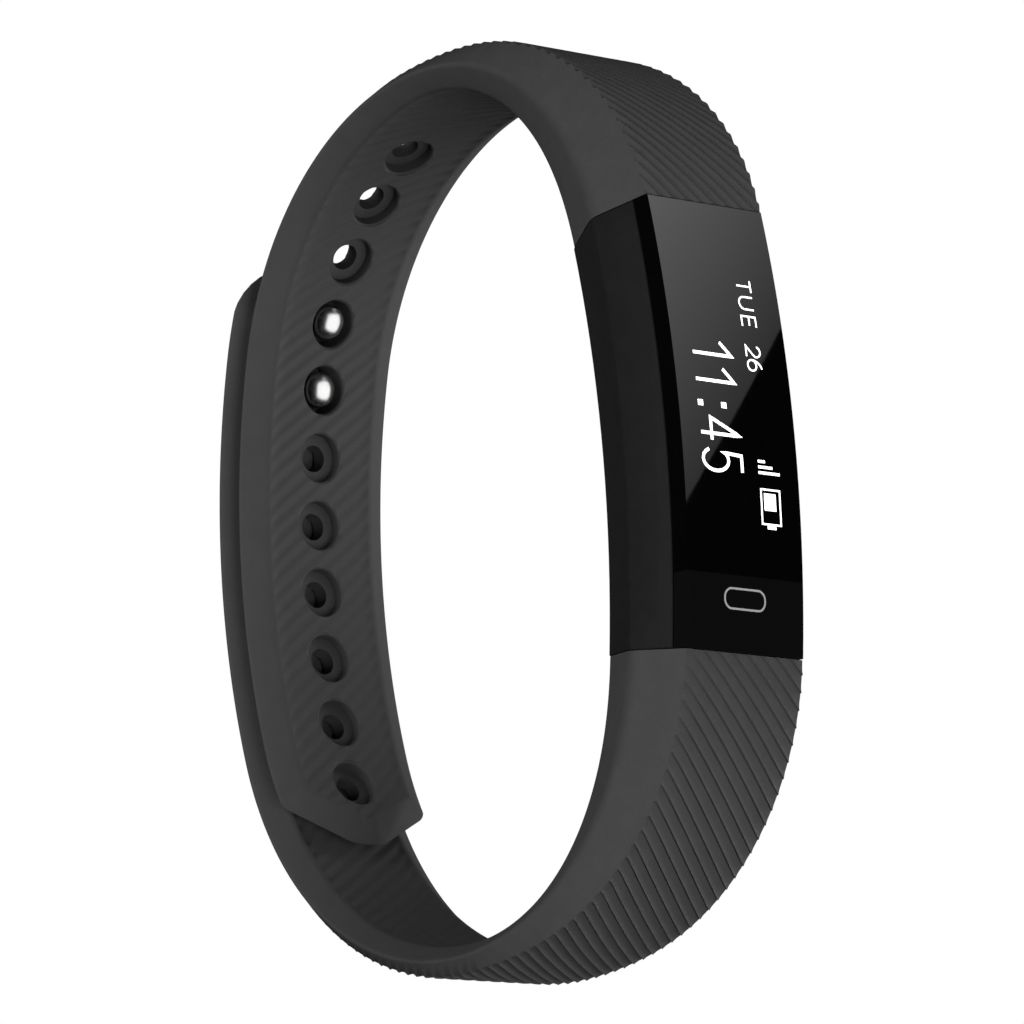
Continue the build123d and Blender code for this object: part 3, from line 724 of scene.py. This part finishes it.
# ---------------------------------------------------------------- display glass
GLASS_ROWS = 72
GLASS_COLUMNS = 6
GLASS_EDGE = 0.06            # width of its rounded edges
GLASS_SHARP = 30             # degrees
glass_side = HALF_WIDTH + (FACE_HALF - HALF_WIDTH) * LENS_LOW / MID_T
glass_outline = [(-glass_side, LENS_LOW), (glass_side, LENS_LOW)]
glass_outline += [(FACE_HALF - 2 * FACE_HALF * i / GLASS_COLUMNS, MID_T)
                  for i in range(GLASS_COLUMNS + 1)]
glass = new_piece("display_glass", *swept(MODULE, glass_outline, 0, MODULE_LENGTH, GLASS_ROWS),
                  FINISHES["lens_glass"], MM)
recalculate(glass.data)
smooth(glass, GLASS_SHARP)
soften(glass, GLASS_EDGE)
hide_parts("display_lens")
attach(glass, "module")

# ---------------------------------------------------------------- what the display shows
INK_LOW, INK_HIGH = -0.01, 0.02     # the shapes' underside and top over the glass
MITRE_LIMIT = 2.2
STEP = 0.35                         # longest piece of a straight stroke, so that it follows the glass


def refined(points, closed):
    """The same line with points no further apart than STEP."""
    ends = points[1:] + (points[:1] if closed else [])
    fine = []
    for (x, y), (p, q) in zip(points, ends):
        parts = max(1, round(hypot(p - x, q - y) / STEP))
        fine += [(x + (p - x) * i / parts, y + (q - y) * i / parts) for i in range(parts)]
    return fine if closed else fine + points[-1:]


def stroke(points, width, closed=False):
    """A flat ribbon along the line, in (reading, across) millimetres: its left and right edges."""
    line = refined(points, closed)
    count = len(line)
    left, right = [], []
    for i, (x, y) in enumerate(line):
        before = line[i - 1] if i or closed else None
        after = line[(i + 1) % count] if i < count - 1 or closed else None
        ways = []
        for p, q in ((before, (x, y)), ((x, y), after)):
            if p is not None and q is not None:
                run = hypot(q[0] - p[0], q[1] - p[1])
                ways.append(((q[0] - p[0]) / run, (q[1] - p[1]) / run))
        nx, ny = -sum(w[1] for w in ways), sum(w[0] for w in ways)
        size = hypot(nx, ny)
        nx, ny = nx / size, ny / size
        reach = width / 2 / max(1 / MITRE_LIMIT, -ways[0][1] * nx + ways[0][0] * ny)
        left.append((x + nx * reach, y + ny * reach))
        right.append((x - nx * reach, y - ny * reach))
    return left, right


def ribbon(points, width, closed=False):
    """A stroke as a thin solid on the glass."""
    left, right = stroke(points, width, closed)
    count = len(left)
    corners = []
    for edge, height in ((left, INK_HIGH), (right, INK_HIGH), (right, INK_LOW), (left, INK_LOW)):
        corners += [place(MODULE, MODULE_LENGTH / 2 - x, y, MID_T + height) for x, y in edge]
    faces = []
    for i in range(count if closed else count - 1):
        n = (i + 1) % count
        for k in range(4):
            m = (k + 1) % 4
            faces.append((k * count + i, k * count + n, m * count + n, m * count + i))
    if not closed:
        faces += [(0, count, 2 * count, 3 * count),
                  (4 * count - 1, 3 * count - 1, 2 * count - 1, count - 1)]
    return corners, faces


def curve(cx, cy, rx, ry, start, end, steps=14):
    """Points of an ellipse's arc, with angles in degrees."""
    angles = [radians(start + (end - start) * i / steps) for i in range(steps + 1)]
    return [(cx + rx * cos(t), cy + ry * sin(t)) for t in angles]


# Each character's strokes, in a cell 1 high with its own width.
LETTERS = {
    "T": (0.66, [[(0, 1), (0.66, 1)], [(0.33, 1), (0.33, 0)]]),
    "U": (0.7, [[(0, 1), *curve(0.35, 0.36, 0.35, 0.36, 180, 360), (0.7, 1)]]),
    "E": (0.56, [[(0.56, 1), (0, 1), (0, 0), (0.56, 0)], [(0, 0.52), (0.5, 0.52)]]),
    "1": (0.26, [[(0, 0.72), (0.26, 1), (0.26, 0)]]),
    "2": (0.6, [[*curve(0.3, 0.7, 0.29, 0.3, 165, -35), (0, 0), (0.6, 0)]]),
    "4": (0.44, [[(0.31, 0), (0.31, 1), (0, 0.27), (0.44, 0.27)]]),
    "5": (0.38, [[(0.36, 1), (0.04, 1), (0.01, 0.52), *curve(0.16, 0.33, 0.22, 0.33, 125, -150)]]),
    "6": (0.6, [curve(0.3, 0.31, 0.3, 0.31, 0, 360), curve(0.62, 0.31, 0.62, 0.72, 180, 105)]),
}


def text(word, x, base, height, width, gaps):
    """Strokes of a word that starts at x and stands on base, both in millimetres on the glass,
    with the gap that follows each letter."""
    parts = []
    for letter, gap in zip(word, gaps):
        cell, strokes = LETTERS[letter]
        for points in strokes:
            (x0, y0), (x1, y1) = points[0], points[-1]
            closed = hypot(x1 - x0, y1 - y0) < 1e-6
            placed = [(x + p * height, base + q * height) for p, q in points[:-1 if closed else None]]
            parts.append(ribbon(placed, width, closed))
        x += cell * height + gap
    return parts


def box_stroke(x0, y0, x1, y1):
    """A filled rectangle: one wide stroke."""
    return ribbon([(x0, (y0 + y1) / 2), (x1, (y0 + y1) / 2)], abs(y1 - y0))


def screen_piece(name, parts, finish):
    piece = new_piece(name, *joined(parts), finish)
    recalculate(piece.data)
    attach(piece, "module")
    return piece


# Reading runs towards -X from the module's middle; the top of the text is the far side.
DATE_LINE = (1.68, 1.38, 0.13)     # base, height, stroke
DAY_X, DAY_GAPS = -11.05, (0.4, 0.56, 0)
NUMBER_X, NUMBER_GAPS = -5.92, (0.24, 0)
TIME_LINE = (-3.69, 3.8, 0.25)
HOURS_X, HOURS_GAPS = -5.86, (1.04, 0)
MINUTES_X, MINUTES_GAPS = -0.04, (0.82, 0)
COLON_FROM, COLON_TO, COLON_SIZE = -1.29, -0.85, 0.5
COLON_DOTS = (-1.2, -3.5)
screen_piece("date_text", text("TUE", DAY_X, *DATE_LINE, DAY_GAPS)
             + text("26", NUMBER_X, *DATE_LINE, NUMBER_GAPS), LIT)
colon = [box_stroke(COLON_FROM, y - COLON_SIZE / 2, COLON_TO, y + COLON_SIZE / 2) for y in COLON_DOTS]
screen_piece("time_text", text("11", HOURS_X, *TIME_LINE, HOURS_GAPS)
             + text("45", MINUTES_X, *TIME_LINE, MINUTES_GAPS) + colon, LIT)

# Battery sign: outline, charge and terminal.
BATTERY_LEFT, BATTERY_RIGHT = 4.86, 7.42
BATTERY_LOW, BATTERY_HIGH = 1.83, 3.68
BATTERY_LINE = 0.13
CHARGE_INSET, CHARGE_LENGTH, CHARGE_TOP = 0.28, 1.27, 0.42
TERMINAL_GAP, TERMINAL_LENGTH, TERMINAL_INSET = 0.1, 0.25, 0.5
battery_outline = [(BATTERY_LEFT, BATTERY_LOW), (BATTERY_RIGHT, BATTERY_LOW),
                   (BATTERY_RIGHT, BATTERY_HIGH), (BATTERY_LEFT, BATTERY_HIGH)]
charge_x, terminal_x = BATTERY_LEFT + CHARGE_INSET, BATTERY_RIGHT + TERMINAL_GAP
screen_piece("battery_sign", [
    ribbon(battery_outline, BATTERY_LINE, closed=True),
    box_stroke(charge_x, BATTERY_LOW + CHARGE_INSET,
               charge_x + CHARGE_LENGTH, BATTERY_HIGH - CHARGE_TOP),
    box_stroke(terminal_x, BATTERY_LOW + TERMINAL_INSET,
               terminal_x + TERMINAL_LENGTH, BATTERY_HIGH - TERMINAL_INSET)], LIT)

# A plain sign of three rising bars.
BAR_X, BAR_LOW, BAR_WIDTH, BAR_PITCH, BAR_RISE = 2.8, 1.72, 0.2, 0.42, 0.7
bars = [ribbon([(BAR_X + BAR_PITCH * i, BAR_LOW), (BAR_X + BAR_PITCH * i, BAR_LOW + BAR_RISE * (i + 1))],
               BAR_WIDTH) for i in range(3)]
screen_piece("link_sign", bars, LIT)

# Outline of the touch key, from its four round corners: grey print with a faint painted glow.
KEY_X, KEY_Y = 13.1, -0.12
KEY_HALF_SIZES, KEY_CORNER, KEY_LINE = (0.73, 1.98), 0.68, 0.15
corner_x, corner_y = (half - KEY_CORNER for half in KEY_HALF_SIZES)
key_outline = []
for quarter, (side, end) in enumerate(((1, 1), (-1, 1), (-1, -1), (1, -1))):
    key_outline += curve(KEY_X + side * corner_x, KEY_Y + end * corner_y, KEY_CORNER, KEY_CORNER,
                         90 * quarter, 90 * (quarter + 1), steps=8)
screen_piece("touch_key_ring", [ribbon(key_outline, KEY_LINE, closed=True)], KEY_GREY_PAINTED_GLOW)

# ---------------------------------------------------------------- camera
CAMERA_AZIMUTH, CAMERA_ELEVATION = -18.2911, 38.0697     # where it stands, in degrees from -Y and up
CAMERA_ROLL = -83.2552                                   # brings +X up in the picture
CAMERA_AIM = Vector((0.416, -0.648, 6.723)) * MM
CAMERA_DISTANCE = 0.479059
FOCAL_LENGTH, SENSOR_WIDTH = 213.68, 36.0                # in millimetres
camera_data = bpy.data.cameras.new("camera")
camera_data.lens = FOCAL_LENGTH
camera_data.sensor_width = SENSOR_WIDTH
camera_data.clip_start = 0.01
camera_data.clip_end = 50.0
camera = bpy.data.objects.new("camera", camera_data)
bpy.context.scene.collection.objects.link(camera)
bpy.context.scene.camera = camera
camera_turn = (Matrix.Rotation(radians(CAMERA_AZIMUTH), 4, "Z")
               @ Matrix.Rotation(radians(90 - CAMERA_ELEVATION), 4, "X")
               @ Matrix.Rotation(radians(CAMERA_ROLL), 4, "Z"))
camera_place = (Matrix.Translation(CAMERA_AIM) @ camera_turn
                @ Matrix.Translation((0, 0, CAMERA_DISTANCE)))
camera.matrix_world = camera_place
CAMERA_AT = camera_place.to_translation()

# ---------------------------------------------------------------- studio
STUDIO_RADIUS = 6.0
FLOOR_BELOW = 0.0002         # the floor lies this far under the band
WHITE = 1.0
RING = 64                    # points round each ring of the floor
CURVE_STEPS = 8


def glowing(name, strength, far_strength=None):
    """A light of its own, as a stage material, that may change along the mesh's first texture axis."""
    made = bpy.data.materials.new(name)
    made.use_nodes = True
    nodes, links = made.node_tree.nodes, made.node_tree.links
    nodes.clear()
    light = nodes.new("ShaderNodeEmission")
    light.inputs["Strength"].default_value = strength
    if far_strength is not None:
        at = nodes.new("ShaderNodeTexCoord")
        parts = nodes.new("ShaderNodeSeparateXYZ")
        change = nodes.new("ShaderNodeMapRange")
        change.inputs["To Min"].default_value = strength
        change.inputs["To Max"].default_value = far_strength
        links.new(at.outputs["UV"], parts.inputs["Vector"])
        links.new(parts.outputs["X"], change.inputs["Value"])
        links.new(change.outputs["Result"], light.inputs["Strength"])
    links.new(light.outputs["Emission"], nodes.new("ShaderNodeOutputMaterial").inputs["Surface"])
    made.cycles.emission_sampling = "NONE"
    return made


def seen_only_by(piece, camera_rays, glossy):
    """Hides a stage piece from every kind of ray but these two, where they are set."""
    piece.visible_camera = camera_rays
    piece.visible_glossy = glossy
    piece.visible_diffuse = False
    piece.visible_transmission = False
    piece.visible_shadow = False


# Pale floor that curves up into a backdrop all round.
rings = [(0.01, 0.0), (STUDIO_RADIUS * 0.5, 0.0)]
rings += [(STUDIO_RADIUS * (0.5 + 0.5 * sin(t)), STUDIO_RADIUS * 0.5 * (1 - cos(t)))
          for t in [radians(90 * i / CURVE_STEPS) for i in range(1, CURVE_STEPS + 1)]]
rings += [(STUDIO_RADIUS, STUDIO_RADIUS)]
floor_points = [(r * cos(2 * pi * i / RING), r * sin(2 * pi * i / RING), z - FLOOR_BELOW)
                for r, z in rings for i in range(RING)]
floor_faces = [tuple(range(RING))]
floor_faces += [(k * RING + i, k * RING + (i + 1) % RING,
                 (k + 1) * RING + (i + 1) % RING, (k + 1) * RING + i)
                for k in range(len(rings) - 1) for i in range(RING)]
floor = new_piece("floor", floor_points, floor_faces, glowing("pale_floor", WHITE))
smooth(floor, 60)
seen_only_by(floor, True, False)


LIGHT_DISTANCE = 1.0


def facing(direction):
    """The turn that points a thing's own +Z this way."""
    return direction.to_track_quat("Z", "Y").to_matrix().to_4x4()


def softbox(name, towards, size, power):
    """A square area light that looks at the band from a direction and isn't mirrored in it."""
    data = bpy.data.lights.new(name, "AREA")
    data.shape = "SQUARE"
    data.size = size
    data.energy = power
    light = bpy.data.objects.new(name, data)
    bpy.context.scene.collection.objects.link(light)
    direction = Vector(towards).normalized()
    light.matrix_world = Matrix.Translation(direction * LIGHT_DISTANCE) @ facing(direction)
    light.visible_camera = False
    light.visible_glossy = False


softbox("front_light", (-0.5, -0.85, 0.15), size=0.7, power=16.0)
softbox("top_light", (0.2, -0.05, 0.98), size=0.5, power=12.5)
softbox("right_light", (0.0, -0.12, -1.0), size=0.8, power=20.0)

AMBIENT = 0.1                # light from every side
FLOOR_LIGHT = 0.9            # light that the pale floor throws back up behind the band


def make_world():
    """Low even light, with the pale floor's own light from below and behind."""
    world = bpy.data.worlds.new("studio")
    bpy.context.scene.world = world
    world.use_nodes = True
    nodes, links = world.node_tree.nodes, world.node_tree.links
    direction = nodes.new("ShaderNodeTexCoord")
    parts = nodes.new("ShaderNodeSeparateXYZ")
    links.new(direction.outputs["Generated"], parts.inputs["Vector"])

    def ramp(axis, low, high):
        """0 to 1 as the direction's part along this axis goes from low to high."""
        node = nodes.new("ShaderNodeMapRange")
        node.interpolation_type = "SMOOTHSTEP"
        node.inputs["From Min"].default_value = low
        node.inputs["From Max"].default_value = high
        links.new(parts.outputs[axis], node.inputs["Value"])
        return node.outputs["Result"]

    def product(first, second, plus=None):
        """first times second, and plus a third where there is one."""
        node = nodes.new("ShaderNodeMath")
        node.operation = "MULTIPLY" if plus is None else "MULTIPLY_ADD"
        for socket, value in zip(node.inputs, (first, second, plus)):
            if isinstance(value, float):
                socket.default_value = value
            elif value is not None:
                links.new(value, socket)
        return node.outputs["Value"]

    from_floor = product(ramp("Z", low=-0.05, high=-0.5), ramp("Y", low=-0.35, high=0.05))
    from_above = product(ramp("Z", low=-0.3, high=0.0), AMBIENT)
    links.new(product(from_floor, FLOOR_LIGHT, from_above), nodes["Background"].inputs["Strength"])


make_world()
bpy.context.scene.view_settings.view_transform = "Standard"

# Card that the glass mirrors. Its edge crosses the glass from one long edge to the other.
CARD_AWAY = 0.5
CARD_REACH = 16.0            # from the edge, measured on the glass in millimetres
CARD_FROM, CARD_TO = -0.5, 1.05      # where the card starts and ends, as shares of its edge
CARD_ROWS, CARD_STEPS = 14, 8
CARD_LIGHT = (0.55, 1.94)    # at the edge and at the far side
EDGE_FROM, EDGE_TO = (7.9, 5.7), (-6.5, -5.7)      # towards +X, across


def reflected(point, out):
    """The direction in which the camera's ray leaves this point of a face with this outward normal."""
    normal = Vector((*out, 0))
    ray = (point - CAMERA_AT).normalized()
    return ray - 2 * ray.dot(normal) * normal


glass_middle = place(MODULE, MODULE_LENGTH / 2, 0, MID_T)
card_way = (glass_middle - CAMERA_AT).normalized()
card_way.y = -card_way.y


def mirrored(x, across):
    """The point of the card's plane that the camera sees mirrored in this point of the glass."""
    s = MODULE_LENGTH / 2 + x
    point = place(MODULE, s, across, MID_T)
    ray = reflected(point, station(MODULE, s)[2])
    return point + ray * ((CARD_AWAY - (point - glass_middle).dot(card_way)) / ray.dot(card_way))


edge_x, edge_a = EDGE_TO[0] - EDGE_FROM[0], EDGE_TO[1] - EDGE_FROM[1]
edge_run = hypot(edge_x, edge_a)
card_points = []
for i in range(CARD_ROWS + 1):
    t = CARD_FROM + (CARD_TO - CARD_FROM) * i / CARD_ROWS
    for j in range(CARD_STEPS + 1):
        reach = CARD_REACH * j / CARD_STEPS / edge_run
        card_points.append(mirrored(EDGE_FROM[0] + t * edge_x - reach * edge_a,
                                    EDGE_FROM[1] + t * edge_a + reach * edge_x))
row = CARD_STEPS + 1
card_faces = [(i * row + j, i * row + j + 1, (i + 1) * row + j + 1, (i + 1) * row + j)
              for i in range(CARD_ROWS) for j in range(CARD_STEPS)]
card = new_piece("card", card_points, card_faces, glowing("card_light", *CARD_LIGHT))
card_map = card.data.uv_layers.new(name="reach")
for loop in card.data.loops:
    card_map.data[loop.index].uv = (loop.vertex_index % row / CARD_STEPS, 0.5)
seen_only_by(card, False, True)

# Small white card below the floor that only the steel pegs mirror.
PEG_CARD_AWAY, PEG_CARD_HALF = 0.025, 0.012
PEG_CARD_LIGHT = 1.4
between_pegs = sum(hole_station(number) for number in PEG_HOLES) / 2
peg_middle = place(HOLE_STRAP, between_pegs, 0, -HALF_TAIL)
peg_ray = reflected(peg_middle, station(HOLE_STRAP, between_pegs)[2])
square = [(x * PEG_CARD_HALF, y * PEG_CARD_HALF, 0) for x, y in ((-1, -1), (1, -1), (1, 1), (-1, 1))]
peg_card = new_piece("peg_card", square, [(0, 1, 2, 3)], glowing("peg_card_light", PEG_CARD_LIGHT))
peg_card.matrix_world = Matrix.Translation(peg_middle + PEG_CARD_AWAY * peg_ray) @ facing(peg_ray)
seen_only_by(peg_card, False, True)

# ---------------------------------------------------------------- finish
bpy.context.view_layer.update()
